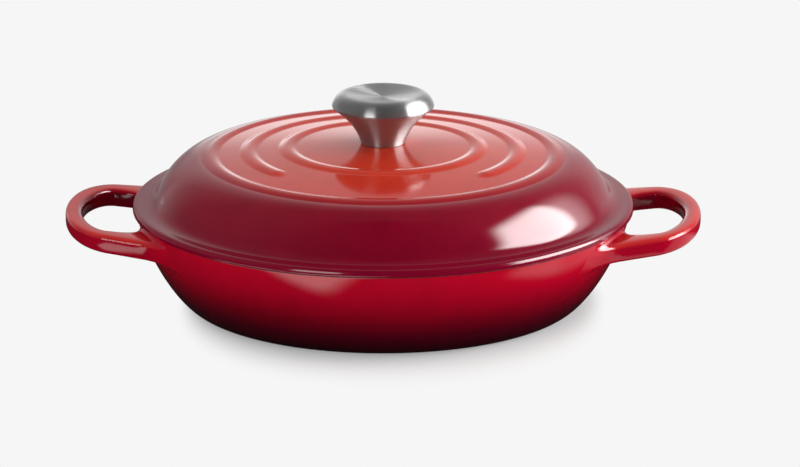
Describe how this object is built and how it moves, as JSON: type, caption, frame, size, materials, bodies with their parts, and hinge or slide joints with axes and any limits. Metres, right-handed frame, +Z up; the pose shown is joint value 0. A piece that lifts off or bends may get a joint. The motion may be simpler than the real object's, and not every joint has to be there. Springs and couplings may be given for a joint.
{
  "type": "enamelled cast iron pot with lid",
  "caption": "Shallow round enamelled cast iron casserole with cast loop handles, a domed lid with raised rings that lifts off, and a steel knob held by a screw.",
  "frame": {"origin": "centre of the base, on the surface that the pot stands on", "axes": "+X towards one handle, +Z up, -Y towards the front of the lid"},
  "size_m": [0.345, 0.272, 0.1153],
  "materials": {
    "pot_enamel": "gloss red enamel outside, darkening towards the base, sand-coloured enamel inside, dark rim",
    "lid_enamel": "gloss red enamel outside, brighter orange-red on the crown, sand-coloured enamel underneath",
    "knob_steel": "spun satin",
    "fixing_steel": "plain zinc-grey steel"
  },
  "bodies": {
    "pot": {"pot_body": "pot_enamel"},
    "lid": {"lid": "lid_enamel", "knob_cap": "knob_steel", "knob_stem": "knob_steel", "knob_insert": "fixing_steel"},
    "washer": {"screw_washer": "fixing_steel"},
    "screw": {"knob_screw": "fixing_steel"}
  },
  "joints": [
    {"name": "lid_lift", "type": "slide", "parent": "pot", "child": "lid", "axis": [0, 0, 1], "range_m": [0, 0.16]},
    {"name": "washer_drop", "type": "slide", "parent": "lid", "child": "washer", "axis": [0, 0, -1], "range_m": [0, 0.01]},
    {"name": "screw_turn", "type": "hinge", "parent": "washer", "child": "screw", "pos_m": [0, 0, 0.0815], "axis": [0, 0, -1], "range_deg": [0, 3600]}
  ],
  "couplings": [
    {"joint": "screw_turn", "follows": "washer_drop", "rad_per_m": 6283.2}
  ]
}
